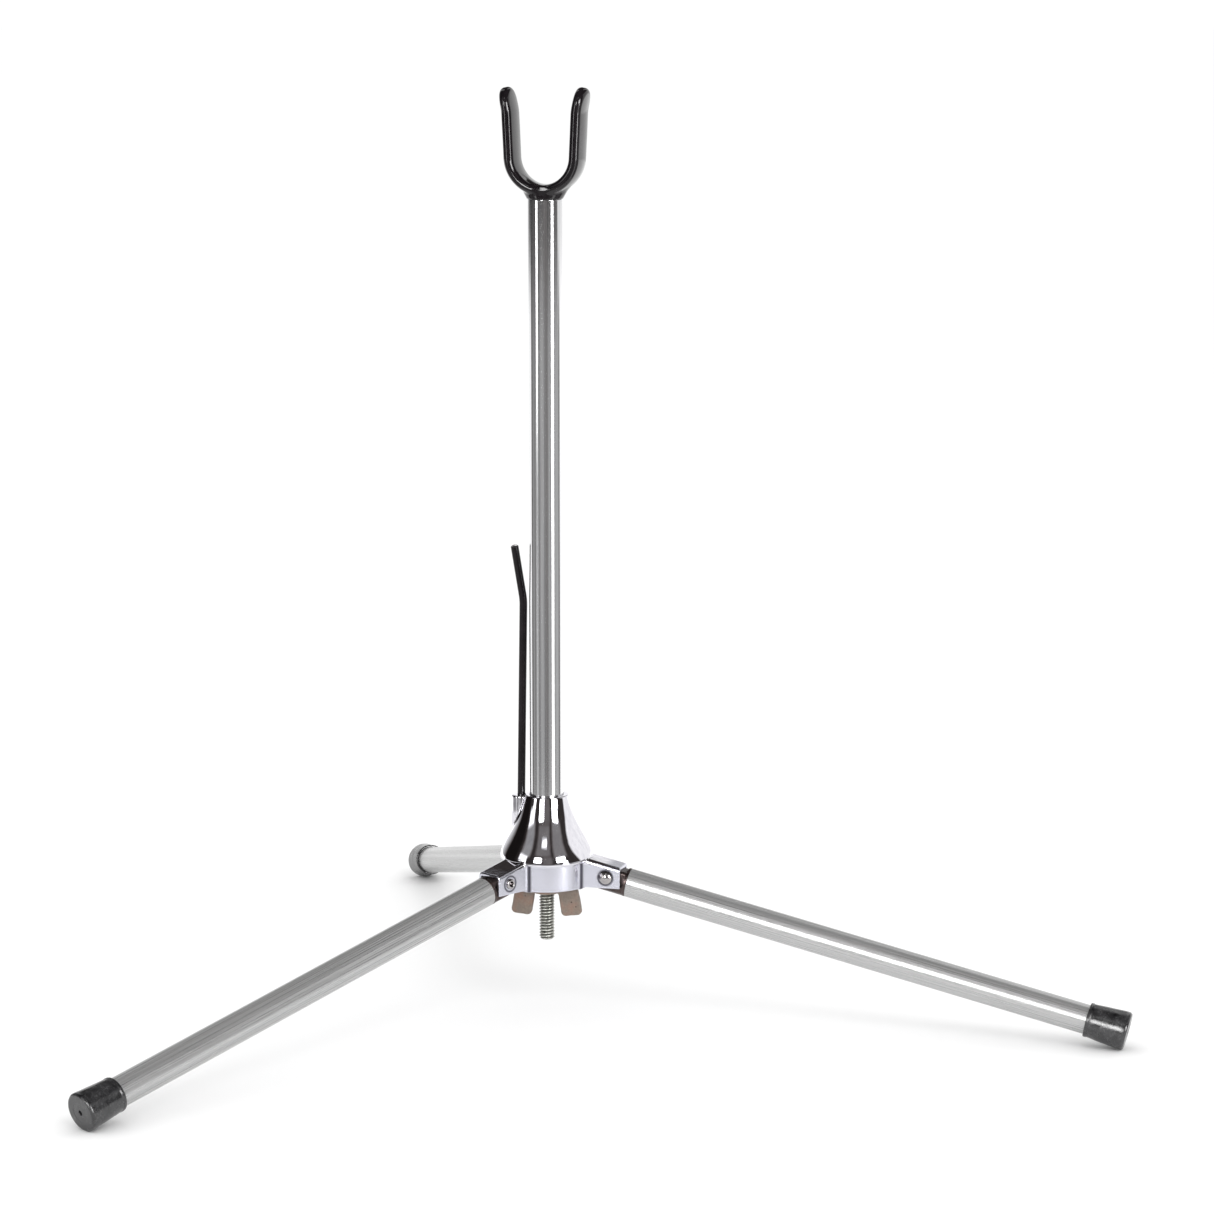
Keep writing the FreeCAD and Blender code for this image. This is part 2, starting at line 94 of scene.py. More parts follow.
def face_groups(faces):
    """Faces sorted into arrays of equal corner count."""
    if isinstance(faces, np.ndarray):
        return [faces]
    counts = sorted({len(face) for face in faces})
    return [np.array([face for face in faces if len(face) == count]) for count in counts]


def area_normals(points, faces):
    """Vertex normals weighted by the area of the faces around, so that long faces stay straight."""
    normals = np.zeros_like(points)
    for group in face_groups(faces):
        corners = points[group]
        cross = np.cross(corners[:, 2] - corners[:, 0], corners[:, -1] - corners[:, 1])
        if group.shape[1] == 3:
            cross = np.cross(corners[:, 1] - corners[:, 0], corners[:, 2] - corners[:, 0])
        for k in range(group.shape[1]):
            np.add.at(normals, group[:, k], cross)
    return normals / np.maximum(np.linalg.norm(normals, axis=1, keepdims=True), 1e-12)


def make_piece(name, points, faces, place=None, normals=None, local=None, offset=0.0):
    """A smooth-shaded mesh object. Points are in millimetres in the piece's own frame, and the mesh
    keeps them, moved by an offset along Z, as the attribute that its materials take patterns from."""
    points = as_array(points)
    kept = points if local is None else as_array(local)
    if normals is None:
        normals = area_normals(points, faces)
    if place is not None:
        matrix = as_array(place)
        points = points @ matrix[:3, :3].T + matrix[:3, 3]
        normals = normals @ matrix[:3, :3].T
    mesh = bpy.data.meshes.new(name)
    rows = faces.tolist() if isinstance(faces, np.ndarray) else faces
    mesh.from_pydata((points * MM).tolist(), [], rows)
    mesh.shade_smooth()
    mesh.normals_split_custom_set_from_vertices(normals.tolist())
    attribute = mesh.attributes.new("local_mm", "FLOAT_VECTOR", "POINT")
    shifted = kept + as_array((0, 0, offset))
    attribute.data.foreach_set("vector", shifted.astype(np.float32).ravel())
    obj = bpy.data.objects.new(name, mesh)
    bpy.context.scene.collection.objects.link(obj)
    return obj


def finish_piece(obj, body, slot, material, *stands_for):
    """Gives a piece its body and material and hides the CAD nodes that it stands for; the slot is not used.
    """
    obj.data.materials.clear()
    obj.data.materials.append(material)
    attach(obj, body)
    if stands_for:
        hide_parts(*stands_for)
    return obj


def rounded_outline(corners, steps=4):
    """Points of an outline whose corners are (radius, height, rounding), closed."""
    count = len(corners)
    points = []
    for k in range(count):
        here = as_array(corners[k][:2])
        rounding = corners[k][2] if len(corners[k]) > 2 else 0.0
        before = as_array(corners[k - 1][:2]) - here
        after = as_array(corners[(k + 1) % count][:2]) - here
        if rounding <= 0:
            points.append(here)
            continue
        before /= np.linalg.norm(before)
        after /= np.linalg.norm(after)
        half = math.acos(max(-1.0, min(1.0, float(before @ after)))) / 2
        run = rounding / math.tan(half)
        middle = (before + after) / np.linalg.norm(before + after)
        centre = here + middle * rounding / math.sin(half)
        start = here + before * run - centre
        end = here + after * run - centre
        turn = math.atan2(start[0] * end[1] - start[1] * end[0], float(start @ end))
        for j in range(steps + 1):
            angle = turn * j / steps
            c, s = math.cos(angle), math.sin(angle)
            points.append(centre + as_array((c * start[0] - s * start[1], s * start[0] + c * start[1])))
    return as_array(points)


def ring_faces(rings, around, closed_rings):
    """Quads between rings of points, ring after ring."""
    last_ring = rings if closed_rings else rings - 1
    i, j = np.meshgrid(np.arange(last_ring), np.arange(around), indexing="ij")
    i, j = i.ravel(), j.ravel()
    next_i, next_j = (i + 1) % rings, (j + 1) % around
    return np.stack([i * around + j, i * around + next_j, next_i * around + next_j, next_i * around + j], 1)


def turned(outline, segments=96):
    """Points and quads of an outline of (radius, height) points, turned about Z."""
    angle = 2 * math.pi * np.arange(segments) / segments
    radius = outline[:, 0][:, None]
    height = np.broadcast_to(outline[:, 1][:, None], (len(outline), segments))
    points = np.stack([radius * np.cos(angle), radius * np.sin(angle), height], -1)
    faces = ring_faces(len(outline), segments, True)
    area = np.sum(outline[:, 0] * np.roll(outline[:, 1], -1) - np.roll(outline[:, 0], -1) * outline[:, 1])
    if area < 0:
        faces = faces[:, ::-1]
    return points.reshape(-1, 3), faces


def leg_place(number):
    """From a leg's own frame, with the pivot at the origin and +X along the tube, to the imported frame."""
    turn = Matrix.Rotation(2 * math.pi / LEG_COUNT * (number - 1), 4, "Z")
    out = Matrix.Translation((PIVOT_RADIUS, 0, PIVOT_Z))
    return turn @ out @ Matrix.Rotation(LEG_SLOPE, 4, "Y")


# A piece turned about Z is laid along the leg tube: its +Z becomes the leg's +X, on the tube's centre line.
ALONG_LEG = Matrix.Translation((0, 0, -PIVOT_RISE)) @ Matrix.Rotation(math.pi / 2, 4, "Y")


# ---- distance fields, negative inside ----
def join(a, b, r):
    """Both shapes, with a round fillet of radius r where they meet."""
    near = np.hypot(np.maximum(r - a, 0), np.maximum(r - b, 0))
    return np.maximum(r, np.minimum(a, b)) - near


def meet(a, b, r):
    """What both shapes share, with its edges rounded to radius r."""
    return -join(-a, -b, r)


def noise(x, y, z, scale, seed):
    """A smooth repeatable noise from -1 to 1, made of sines along turned directions."""
    draw = np.random.default_rng(seed)
    total = np.zeros(np.shape(x))
    for _ in range(7):
        direction = draw.normal(size=3)
        direction *= draw.uniform(0.6, 1.7) / (scale * np.linalg.norm(direction))
        total = total + np.sin(direction[0] * x + direction[1] * y + direction[2] * z + draw.uniform(0, 6.28))
    return total / 3.5


def gradient(field, points, step):
    """The field's slope at each point."""
    slopes = []
    for axis in range(3):
        shift = np.zeros(3)
        shift[axis] = step
        ahead = field(*(points + shift).T)
        behind = field(*(points - shift).T)
        slopes.append((ahead - behind) / (2 * step))
    return np.stack(slopes, 1)


CORNERS = [(i, j, k) for i in (0, 1) for j in (0, 1) for k in (0, 1)]
CELL_EDGES = [
    (a, b) for a in CORNERS for b in CORNERS if a < b and sum(abs(p - q) for p, q in zip(a, b)) == 1
]


def surface_of(field, low, high, cell):
    """Points, quads and normals of a field's zero surface: one point in each cell that it crosses,
    then drawn onto the surface along the field's slope."""
    low = as_array(low)
    counts = np.ceil((as_array(high) - low) / cell).astype(int) + 1
    lines = [low[axis] + cell * np.arange(counts[axis]) for axis in range(3)]
    value = field(*np.meshgrid(*lines, indexing="ij"))
    inside = value < 0
    many = sum(
        inside[i : i + counts[0] - 1, j : j + counts[1] - 1, k : k + counts[2] - 1].astype(np.int8)
        for i, j, k in CORNERS
    )
    crossed = (many > 0) & (many < 8)
    number = np.full(crossed.shape, -1)
    number[crossed] = np.arange(int(crossed.sum()))
    cells = np.argwhere(crossed)
    total = np.zeros((len(cells), 3))
    count = np.zeros(len(cells))
    for a, b in CELL_EDGES:
        at_a = value[tuple((cells + a).T)]
        at_b = value[tuple((cells + b).T)]
        passes = (at_a < 0) != (at_b < 0)
        share = at_a[passes] / (at_a[passes] - at_b[passes])
        total[passes] += as_array(a) + share[:, None] * (as_array(b) - as_array(a))
        count[passes] += 1
    points = low + cell * (cells + total / count[:, None])
    quads = []
    for axis in range(3):
        side, other = (axis + 1) % 3, (axis + 2) % 3
        first = np.take(inside, range(counts[axis] - 1), axis)
        second = np.take(inside, range(1, counts[axis]), axis)
        edges = np.argwhere(first != second)
        fits = (edges[:, side] > 0) & (edges[:, other] > 0)
        fits &= (edges[:, side] < counts[side] - 1) & (edges[:, other] < counts[other] - 1)
        edges = edges[fits]
        step_a, step_b = np.eye(3, dtype=int)[side], np.eye(3, dtype=int)[other]
        around = [edges - step_a - step_b, edges - step_b, edges, edges - step_a]
        quad = np.stack([number[tuple(c.T)] for c in around], 1)
        inward = ~first[tuple(edges.T)]
        quad[inward] = quad[inward][:, ::-1]
        quads.append(quad)
    for _ in range(3):
        slope = gradient(field, points, cell * 0.05)
        steep = np.maximum(np.sum(slope**2, 1), 0.2)
        move = (field(*points.T) / steep)[:, None] * slope
        size = np.maximum(np.linalg.norm(move, axis=1, keepdims=True), 1e-12)
        points = points - move * np.minimum(1, 0.4 * cell / size)
    slope = gradient(field, points, cell * 0.25)
    normals = slope / np.maximum(np.linalg.norm(slope, axis=1, keepdims=True), 1e-12)
    return points, np.concatenate(quads), normals


def from_field(name, node, field, cell):
    """A field's surface, looked for in a node's box and 1 mm around it."""
    low = [edge_mm(node, axis, 0) - 1 for axis in range(3)]
    high = [edge_mm(node, axis, 1) + 1 for axis in range(3)]
    points, quads, normals = surface_of(field, low, high, cell)
    return make_piece(name, points, quads, normals=normals)


# ---- material kit ----
def new_material(name):
    """A material, its node tree and its shader."""
    material = bpy.data.materials.new(name)
    material.use_nodes = True
    tree = material.node_tree
    return material, tree, tree.nodes["Principled BSDF"]


def add_node(tree, kind, inputs=None, **settings):
    node = tree.nodes.new(kind)
    for key, value in settings.items():
        setattr(node, key, value)
    for key, value in (inputs or {}).items():
        if isinstance(value, bpy.types.NodeSocket):
            tree.links.new(value, node.inputs[key])
        else:
            node.inputs[key].default_value = value
    return node


def local_place(tree, stretch=(1, 1, 1)):
    """The piece's own coordinates in millimetres, scaled along each axis."""
    kept = add_node(tree, "ShaderNodeAttribute", attribute_name="local_mm")
    inputs = {0: kept.outputs["Vector"], 1: stretch}
    scaled = add_node(tree, "ShaderNodeVectorMath", inputs, operation="MULTIPLY")
    return scaled.outputs["Vector"]


def noise_at(tree, place, scale, detail=3.0, rough=0.5):
    inputs = {"Vector": place, "Scale": scale, "Detail": detail, "Roughness": rough}
    return add_node(tree, "ShaderNodeTexNoise", inputs).outputs["Fac"]


def ramp(tree, value, stops):
    """A colour ramp from (position, grey or colour) stops."""
    made = add_node(tree, "ShaderNodeValToRGB", {"Fac": value})
    elements = made.color_ramp.elements
    while len(elements) < len(stops):
        elements.new(0.5)
    for element, (position, colour) in zip(elements, stops):
        element.position = position
        shade = (colour,) * 3 if isinstance(colour, (int, float)) else colour
        element.color = (*shade, 1)
    return made.outputs["Color"]


def spread(tree, value, low, high, out_low, out_high):
    made = add_node(
        tree,
        "ShaderNodeMapRange",
        {"Value": value, "From Min": low, "From Max": high, "To Min": out_low, "To Max": out_high},
    )
    return made.outputs["Result"]


def mixed(tree, share, first, second):
    """The first colour where the share is 0 and the second where it is 1."""
    made = add_node(tree, "ShaderNodeMix", data_type="RGBA")
    for socket, value in ((made.inputs[0], share), (made.inputs[6], first), (made.inputs[7], second)):
        if isinstance(value, bpy.types.NodeSocket):
            tree.links.new(value, socket)
        elif isinstance(value, tuple):
            socket.default_value = (*value, 1)
        else:
            socket.default_value = value
    return made.outputs[2]


def bumps(tree, layers):
    """Chains bumps of (height, strength, distance in metres) into one normal."""
    normal = None
    for height, strength, distance in layers:
        inputs = {"Height": height, "Strength": strength, "Distance": distance}
        if normal is not None:
            inputs["Normal"] = normal
        normal = add_node(tree, "ShaderNodeBump", inputs).outputs["Normal"]
    return normal


def wire(tree, shader, **links):
    """Links sockets or sets values on the shader by names with underscores for spaces."""
    for key, value in links.items():
        socket = shader.inputs[key.replace("_", " ")]
        if isinstance(value, bpy.types.NodeSocket):
            tree.links.new(value, socket)
        else:
            socket.default_value = (*value, 1) if isinstance(value, tuple) else value


# ---- materials ----
def chrome_plate():
    """Plating over a casting: slow waves, smears and specks, satin below the brim, and painted shade that
    darkens it to near black in the creases and round the rivets.
    """
    material, tree, shader = new_material("chrome_plate")
    place = local_place(tree)
    waves = noise_at(tree, place, 0.11, 2.0)
    smears = noise_at(tree, local_place(tree, (1, 1, 0.35)), 0.5, 5.0, 0.6)
    specks = noise_at(tree, place, 3.2, 2.0)
    bright = ramp(tree, smears, [(0.3, (0.70, 0.69, 0.74)), (0.7, (0.84, 0.83, 0.87))])
    height = add_node(tree, "ShaderNodeSeparateXYZ", {0: place}).outputs["Z"]
    satin = spread(tree, height, BRIM_LOW, BRIM_LOW - 0.8, 0.0, 1.0)
    plated = mixed(tree, satin, bright, (0.63, 0.63, 0.70))
    polish = spread(tree, smears, 0.35, 0.75, 0.02, 0.09)
    roughness = add_node(tree, "ShaderNodeMix", {0: satin, 2: polish, 3: 0.24}, data_type="FLOAT").outputs[0]
    # Painted shade: this attribute darkens the plating where the band meets the channels and in a ring round
    # each rivet.
    painted_crease_shade = add_node(tree, "ShaderNodeAttribute", attribute_name="painted_crease_shade").outputs["Fac"]
    wire(
        tree,
        shader,
        Metallic=1.0,
        Base_Color=mixed(tree, spread(tree, painted_crease_shade, 0.0, 1.0, 0.0, 0.93), plated, (0.03, 0.026, 0.04)),
        Roughness=roughness,
        Normal=bumps(tree, [(waves, 0.12, 0.0006), (specks, 0.015, 0.0001)]),
    )
    return material


def drawn_aluminium(name, dark, pale, metallic, smooth, rough):
    """Drawn tube: fine and broad streaks along its length, and a fine grain."""
    material, tree, shader = new_material(name)
    lines = noise_at(tree, local_place(tree, (1, 1, 0.006)), 2.6, 6.0, 0.65)
    broad = noise_at(tree, local_place(tree, (1, 1, 0.004)), 0.45, 2.0)
    grain = noise_at(tree, local_place(tree, (1, 1, 0.05)), 6.0, 3.0)
    fine_tone = ramp(tree, lines, [(0.3, dark), (0.7, pale)])
    broad_tone = ramp(tree, broad, [(0.35, dark), (0.65, pale)])
    wire(
        tree,
        shader,
        Metallic=metallic,
        Base_Color=mixed(tree, 0.45, fine_tone, broad_tone),
        Roughness=spread(tree, lines, 0.3, 0.7, smooth, rough),
        Normal=bumps(tree, [(lines, 0.10, 0.0001), (grain, 0.05, 0.00005)]),
    )
    return material


def moulded_rubber():
    """Black rubber with a soft shine, mottled, and scuffed grey in patches."""
    material, tree, shader = new_material("moulded_rubber")
    place = local_place(tree)
    mottle = noise_at(tree, place, 0.32, 4.0, 0.6)
    scuffs = noise_at(tree, local_place(tree, (0.5, 0.5, 1.6)), 0.9, 6.0, 0.7)
    grain = noise_at(tree, place, 5.0, 3.0)
    base = ramp(tree, mottle, [(0.3, (0.008, 0.008, 0.009)), (0.7, (0.040, 0.040, 0.042))])
    worn = mixed(tree, spread(tree, scuffs, 0.56, 0.72, 0.0, 0.7), base, (0.095, 0.095, 0.095))
    wire(
        tree,
        shader,
        Base_Color=worn,
        Roughness=spread(tree, mottle, 0.3, 0.7, 0.14, 0.30),
        Normal=bumps(tree, [(mottle, 0.20, 0.0004), (grain, 0.18, 0.00012)]),
        Specular_IOR_Level=0.8,
    )
    return material


def dipped_vinyl():
    """Gloss black vinyl with the faint orange peel of a dip and a little dust."""
    material, tree, shader = new_material("dipped_vinyl")
    place = local_place(tree)
    peel = noise_at(tree, place, 0.55, 2.0)
    dust = noise_at(tree, place, 7.0, 2.0)
    cloud = noise_at(tree, place, 0.15, 3.0)
    colour = ramp(tree, cloud, [(0.3, (0.006, 0.005, 0.006)), (0.7, (0.013, 0.010, 0.012))])
    wire(
        tree,
        shader,
        Base_Color=colour,
        Roughness=spread(tree, dust, 0.3, 0.8, 0.07, 0.14),
        Normal=bumps(tree, [(peel, 0.06, 0.0004), (dust, 0.015, 0.00005)]),
        Specular_IOR_Level=0.42,
    )
    return material


def knuckle_painted_dark():
    """The hinge pieces: cloudy, brown-tinted metal whose dark tone is painted shade and painted dark
    reflection for a part inside the channels.
    """
    material, tree, shader = new_material("knuckle_painted_dark")
    place = local_place(tree)
    cloud = noise_at(tree, place, 0.5, 4.0, 0.6)
    # Painted shade and reflection: the base colour is kept near black to stand for the shade inside the
    # channels and the dark room that the metal reflects.
    colour = ramp(tree, cloud, [(0.3, (0.045, 0.034, 0.032)), (0.7, (0.105, 0.080, 0.076))])
    wire(
        tree,
        shader,
        Metallic=0.85,
        Base_Color=colour,
        Roughness=spread(tree, cloud, 0.3, 0.7, 0.22, 0.42),
        Normal=bumps(tree, [(noise_at(tree, place, 4.0, 3.0), 0.12, 0.0001)]),
    )
    return material


def zinc_thread():
    """Zinc on a rolled thread: pale crests, and painted shade, dark grey-green, towards the bottom of the
    grooves.
    """
    material, tree, shader = new_material("zinc_thread")
    place = local_place(tree)
    groove = add_node(tree, "ShaderNodeAttribute", attribute_name="groove").outputs["Fac"]
    blotch = noise_at(tree, place, 0.9, 4.0, 0.6)
    bright = ramp(tree, blotch, [(0.3, (0.40, 0.40, 0.37)), (0.7, (0.68, 0.68, 0.64))])
    # Painted shade: the groove depth darkens the thread towards the bottom of each groove.
    colour = mixed(tree, spread(tree, groove, 0.25, 0.9, 0.0, 0.9), bright, (0.075, 0.073, 0.062))
    wire(
        tree,
        shader,
        Metallic=1.0,
        Base_Color=colour,
        Roughness=spread(tree, blotch, 0.3, 0.7, 0.22, 0.42),
        Normal=bumps(tree, [(noise_at(tree, place, 5.0, 3.0), 0.15, 0.0001)]),
    )
    return material


def plain_metal(name, dark, pale, low, high):
    """Plated or machined metal with a cloudy surface."""
    material, tree, shader = new_material(name)
    place = add_node(tree, "ShaderNodeTexCoord").outputs["Object"]
    cloud = noise_at(tree, place, 400.0, 4.0, 0.6)
    wire(
        tree,
        shader,
        Metallic=1.0,
        Base_Color=ramp(tree, cloud, [(0.3, dark), (0.7, pale)]),
        Roughness=spread(tree, cloud, 0.3, 0.7, low, high),
        Normal=bumps(tree, [(noise_at(tree, place, 2500.0, 2.0), 0.08, 0.0001)]),
    )
    return material


def tarnished_casting():
    """The wing nut: a tarnished casting from grey-brown to copper, with paler patches and dark pits."""
    material, tree, shader = new_material("tarnished_casting")
    place = local_place(tree)
    patches = noise_at(tree, place, 0.13, 4.0, 0.6)
    fine = noise_at(tree, place, 1.6, 5.0, 0.65)
    flat = local_place(tree, (1, 0.04, 1))
    pit_place = add_node(tree, "ShaderNodeTexVoronoi", {"Vector": flat, "Scale": 0.42, "Randomness": 0.8})
    pits = spread(tree, pit_place.outputs["Distance"], 0.08, 0.17, 1.0, 0.0)
    browns = [(0.34, (0.15, 0.122, 0.10)), (0.52, (0.20, 0.158, 0.128)), (0.70, (0.27, 0.155, 0.11))]
    tone = ramp(tree, patches, browns)
    tone = mixed(tree, spread(tree, fine, 0.35, 0.75, 0.0, 0.55), tone, (0.33, 0.275, 0.23))
    tone = mixed(tree, pits, tone, (0.028, 0.020, 0.016))
    wire(
        tree,
        shader,
        Metallic=0.35,
        Base_Color=tone,
        Roughness=spread(tree, fine, 0.3, 0.7, 0.40, 0.62),
        Normal=bumps(tree, [(fine, 0.35, 0.0003), (spread(tree, pits, 0.0, 1.0, 1.0, 0.0), 0.5, 0.0003)]),
    )
    return material


CHROME = chrome_plate()
MAST_METAL = drawn_aluminium("mast_aluminium", (0.50, 0.50, 0.51), (0.74, 0.74, 0.75), 0.92, 0.07, 0.13)
LEG_METAL = drawn_aluminium("leg_aluminium", (0.38, 0.38, 0.38), (0.54, 0.54, 0.54), 0.6, 0.24, 0.34)
RUBBER = moulded_rubber()
VINYL = dipped_vinyl()
KNUCKLE = knuckle_painted_dark()
THREAD = zinc_thread()
NUT_METAL = tarnished_casting()
RIVET_METAL = plain_metal("rivet_nickel", (0.34, 0.32, 0.32), (0.48, 0.46, 0.46), 0.10, 0.22)
WASHER_METAL = plain_metal("washer_zinc", (0.5, 0.5, 0.49), (0.64, 0.64, 0.62), 0.25, 0.4)
BARE_STEEL = plain_metal("bare_steel", (0.52, 0.50, 0.50), (0.70, 0.68, 0.67), 0.3, 0.45)
PLUG_METAL = plain_metal("plug_metal", (0.5, 0.5, 0.51), (0.62, 0.62, 0.62), 0.25, 0.4)


# ---- hub ----
BAND_R = 17.4
RECESS_R = 15.2
BEARING_R = 9.0
MOAT_TOP = WEB_LOW + 6.0
SOCKET_R = MAST_R + 0.05
STUD_HOLE_R = 3.4
CHEEK_OUT = 6.1
CHEEK_IN = 4.6
CHANNEL_REACH = 33.0
CHANNEL_WALL = 18.4
CHANNEL_LOW = PIVOT_Z - 4.6
ROOF_OUT = 5.4
ROOF_IN = 3.9
CHANNEL_START = 8.0
SHANK_R = 1.5
HOLE_START = 12.0
CLIP_BASE_R = 10.9
CLIP_R = 1.65
CLIP_BOSS_R = 4.1
# Flank of the bell: (height above the brim, radius), from the brim's lip to the collar.
BELL_FLANK = [(1.0, 19.4), (3.9, 18.7), (10.9, 15.0), (17.7, 11.7), (23.5, 9.95), (26.5, 9.3)]
BELL_CURVE = np.polyfit(*zip(*BELL_FLANK), 5)
BELL_SLOPE = np.polyder(BELL_CURVE)


def ring_below(radius, z, r, top, rounding):
    """A round hollow of one radius, open below and closed at the top."""
    return meet(radius - r, z - top, rounding)


def hub_field(x, y, z):
    """The casting: bell, band, three leg channels and the clip's boss, less its hollows and holes."""
    radius = np.hypot(x, y)
    rise = np.clip(z - BRIM_LOW, 0.6, 27.0)
    bell = (radius - np.polyval(BELL_CURVE, rise)) / np.sqrt(1 + np.polyval(BELL_SLOPE, rise) ** 2)
    bell = meet(bell, BRIM_LOW - z, 0.75)
    bell = meet(bell, z - HUB_TOP, 0.45)
    band = meet(radius - BAND_R, HUB_LOW - z, 0.5)
    body = np.maximum(band, z - BRIM_LOW - 2)
    legs = []
    for number in range(LEG_COUNT):
        turn = 2 * math.pi / LEG_COUNT * number
        out = x * math.cos(turn) + y * math.sin(turn)
        side = y * math.cos(turn) - x * math.sin(turn)
        above = (z - PIVOT_Z) * math.cos(LEG_SLOPE) + (out - PIVOT_RADIUS) * math.sin(LEG_SLOPE)
        legs.append((out, side, above))
        block = meet(above - ROOF_OUT, np.abs(side) - CHEEK_OUT, 1.7)
        block = meet(block, out - CHANNEL_REACH, 0.45)
        block = meet(block, CHANNEL_LOW - z, 0.45)
        block = np.maximum(block, CHANNEL_START - out)
        body = join(body, block, 2.2)
    boss = np.hypot(x + CLIP_BASE_R, y) - CLIP_BOSS_R
    boss = np.maximum(meet(boss, z - BOSS_TOP, 0.6), BRIM_LOW + 2 - z)
    body = join(body, join(bell, boss, 0.5), 0.6)
    body = meet(body, -ring_below(radius, z, RECESS_R, WEB_LOW, 0.3), 0.35)
    moat = np.maximum(ring_below(radius, z, RECESS_R - 0.3, MOAT_TOP, 1.0), BEARING_R + 0.2 - radius)
    body = meet(body, -moat, 0.4)
    body = meet(body, -np.maximum(radius - SOCKET_R, MAST_LOW - z), 0.35)
    body = meet(body, STUD_HOLE_R - radius, 0.3)
    for out, side, above in legs:
        space = np.maximum(np.abs(side) - CHEEK_IN, above - ROOF_IN)
        space = np.maximum(space, CHANNEL_WALL - out)
        body = meet(body, -space, 0.35)
        hole = np.hypot(out - PIVOT_RADIUS, z - PIVOT_Z) - SHANK_R
        body = np.maximum(body, -np.maximum(hole, HOLE_START - out))
    return body


def painted_crease_shade_share(x, y, z):
    """How close a point is, from 0 to 1, to where the band meets a channel or to the ring round a rivet: the
    share of painted shade there.
    """
    near = np.zeros(np.shape(x))
    for number in range(LEG_COUNT):
        turn = 2 * math.pi / LEG_COUNT * number
        out = x * math.cos(turn) + y * math.sin(turn)
        side = np.abs(y * math.cos(turn) - x * math.sin(turn))
        line_out = math.sqrt((BAND_R + 0.6) ** 2 - (CHEEK_OUT + 0.6) ** 2)
        gap = np.hypot(out - line_out, side - CHEEK_OUT - 0.6)
        near = np.maximum(near, np.clip(1.5 - gap / 0.75, 0, 1) * (z < BRIM_LOW + 0.5) * (out > 0))
        gap = np.abs(np.hypot(out - PIVOT_RADIUS, z - PIVOT_Z) - 3.15)
        near = np.maximum(near, np.clip(1.4 - gap / 0.4, 0, 1) * (side > CHEEK_OUT - 0.3) * (out > 0))
    return near


def make_hub():
    hub = from_field("hub_body", "hub_casting", hub_field, 0.4)
    places = np.array([vertex.co for vertex in hub.data.vertices]) / MM
    # Painted shade for the creases and the rivet rings, kept as a point attribute for the plating's colour.
    painted_crease_shade = hub.data.attributes.new("painted_crease_shade", "FLOAT", "POINT")
    painted_crease_shade.data.foreach_set("value", painted_crease_shade_share(*places.T).astype(np.float32))
    finish_piece(hub, "base", "hub_chrome", CHROME, "hub_casting")


# ---- leg rivets ----
def make_rivets():
    """A domed head on one side of each channel and a hollow clinched tail on the other."""
    head_h, head_r, tail_r, tail_h = 1.7, 3.0, 2.15, 0.9
    dome_r = (head_r**2 + head_h**2) / (2 * head_h)
    sweep = math.asin(head_r / dome_r)
    dome = []
    for t in range(10):
        angle = sweep * t / 9
        fall = dome_r * (1 - math.cos(angle))
        dome.append((max(dome_r * math.sin(angle), 0.02), CHEEK_OUT + head_h - fall))
    shank = [(SHANK_R, CHEEK_OUT - 0.02), (SHANK_R, -CHEEK_OUT + 0.02)]
    tail = rounded_outline(
        [
            (SHANK_R, -CHEEK_OUT),
            (tail_r, -CHEEK_OUT, 0.12),
            (tail_r, -CHEEK_OUT - tail_h, 0.45),
            (1.15, -CHEEK_OUT - tail_h, 0.25),
            (0.95, -CHEEK_OUT + 2.0, 0.2),
            (0.02, -CHEEK_OUT + 2.3),
        ]
    )
    outline = np.concatenate([as_array(dome), as_array(shank), tail])
    points, faces = turned(outline, 56)
    # Turned about Z, then laid along the leg's -Y, head first.
    lay = Matrix.Rotation(math.pi / 2, 4, "X")
    for number in range(1, LEG_COUNT + 1):
        turn = Matrix.Rotation(2 * math.pi / LEG_COUNT * (number - 1), 4, "Z")
        place = turn @ Matrix.Translation((PIVOT_RADIUS, 0, PIVOT_Z)) @ lay
        rivet = make_piece(f"rivet_{number}", points, faces, place)
        finish_piece(rivet, "base", "rivet_nickel", RIVET_METAL, f"leg_rivet_{number}")


# ---- legs ----
KNUCKLE_HALF = 4.4
KNUCKLE_R = 3.85


def knuckle_field(x, y, z):
    """The hinge piece in the leg's own frame."""
    from_axis = np.hypot(y, z + PIVOT_RISE)
    round_end = np.hypot(x, z) - KNUCKLE_R
    heel = np.maximum(np.maximum(-2.9 - x, x - SHOULDER_START - 0.4), z)
    crown = np.maximum(np.maximum(-x, x - SHOULDER_START - 0.4), np.abs(z) - KNUCKLE_R)
    tongue = np.minimum(np.minimum(round_end, heel), crown)
    tongue = meet(tongue, np.abs(y) - KNUCKLE_HALF, 0.35)
    tongue = meet(tongue, from_axis - TUBE_R + 0.1, 0.3)
    shoulder = meet(from_axis - TUBE_R, np.abs(x - (SHOULDER_START + TUBE_START) / 2) - 0.575, 0.22)
    spigot = meet(from_axis - TUBE_R + 1.05, np.abs(x - 15) - 8, 0.3)
    body = np.minimum(join(tongue, shoulder, 0.2), spigot)
    return np.maximum(body, 1.55 - np.hypot(x, z))


def make_knuckles():
    points, quads, normals = surface_of(knuckle_field, (-5, -7, -8), (24.5, 7, 7), 0.3)
    for number in range(1, LEG_COUNT + 1):
        place = leg_place(number)
        piece = make_piece(f"knuckle_{number}", points, quads, place, normals, offset=90.0 * number)
        finish_piece(piece, f"leg_{number}", "knuckle_metal", KNUCKLE, f"leg_knuckle_{number}")


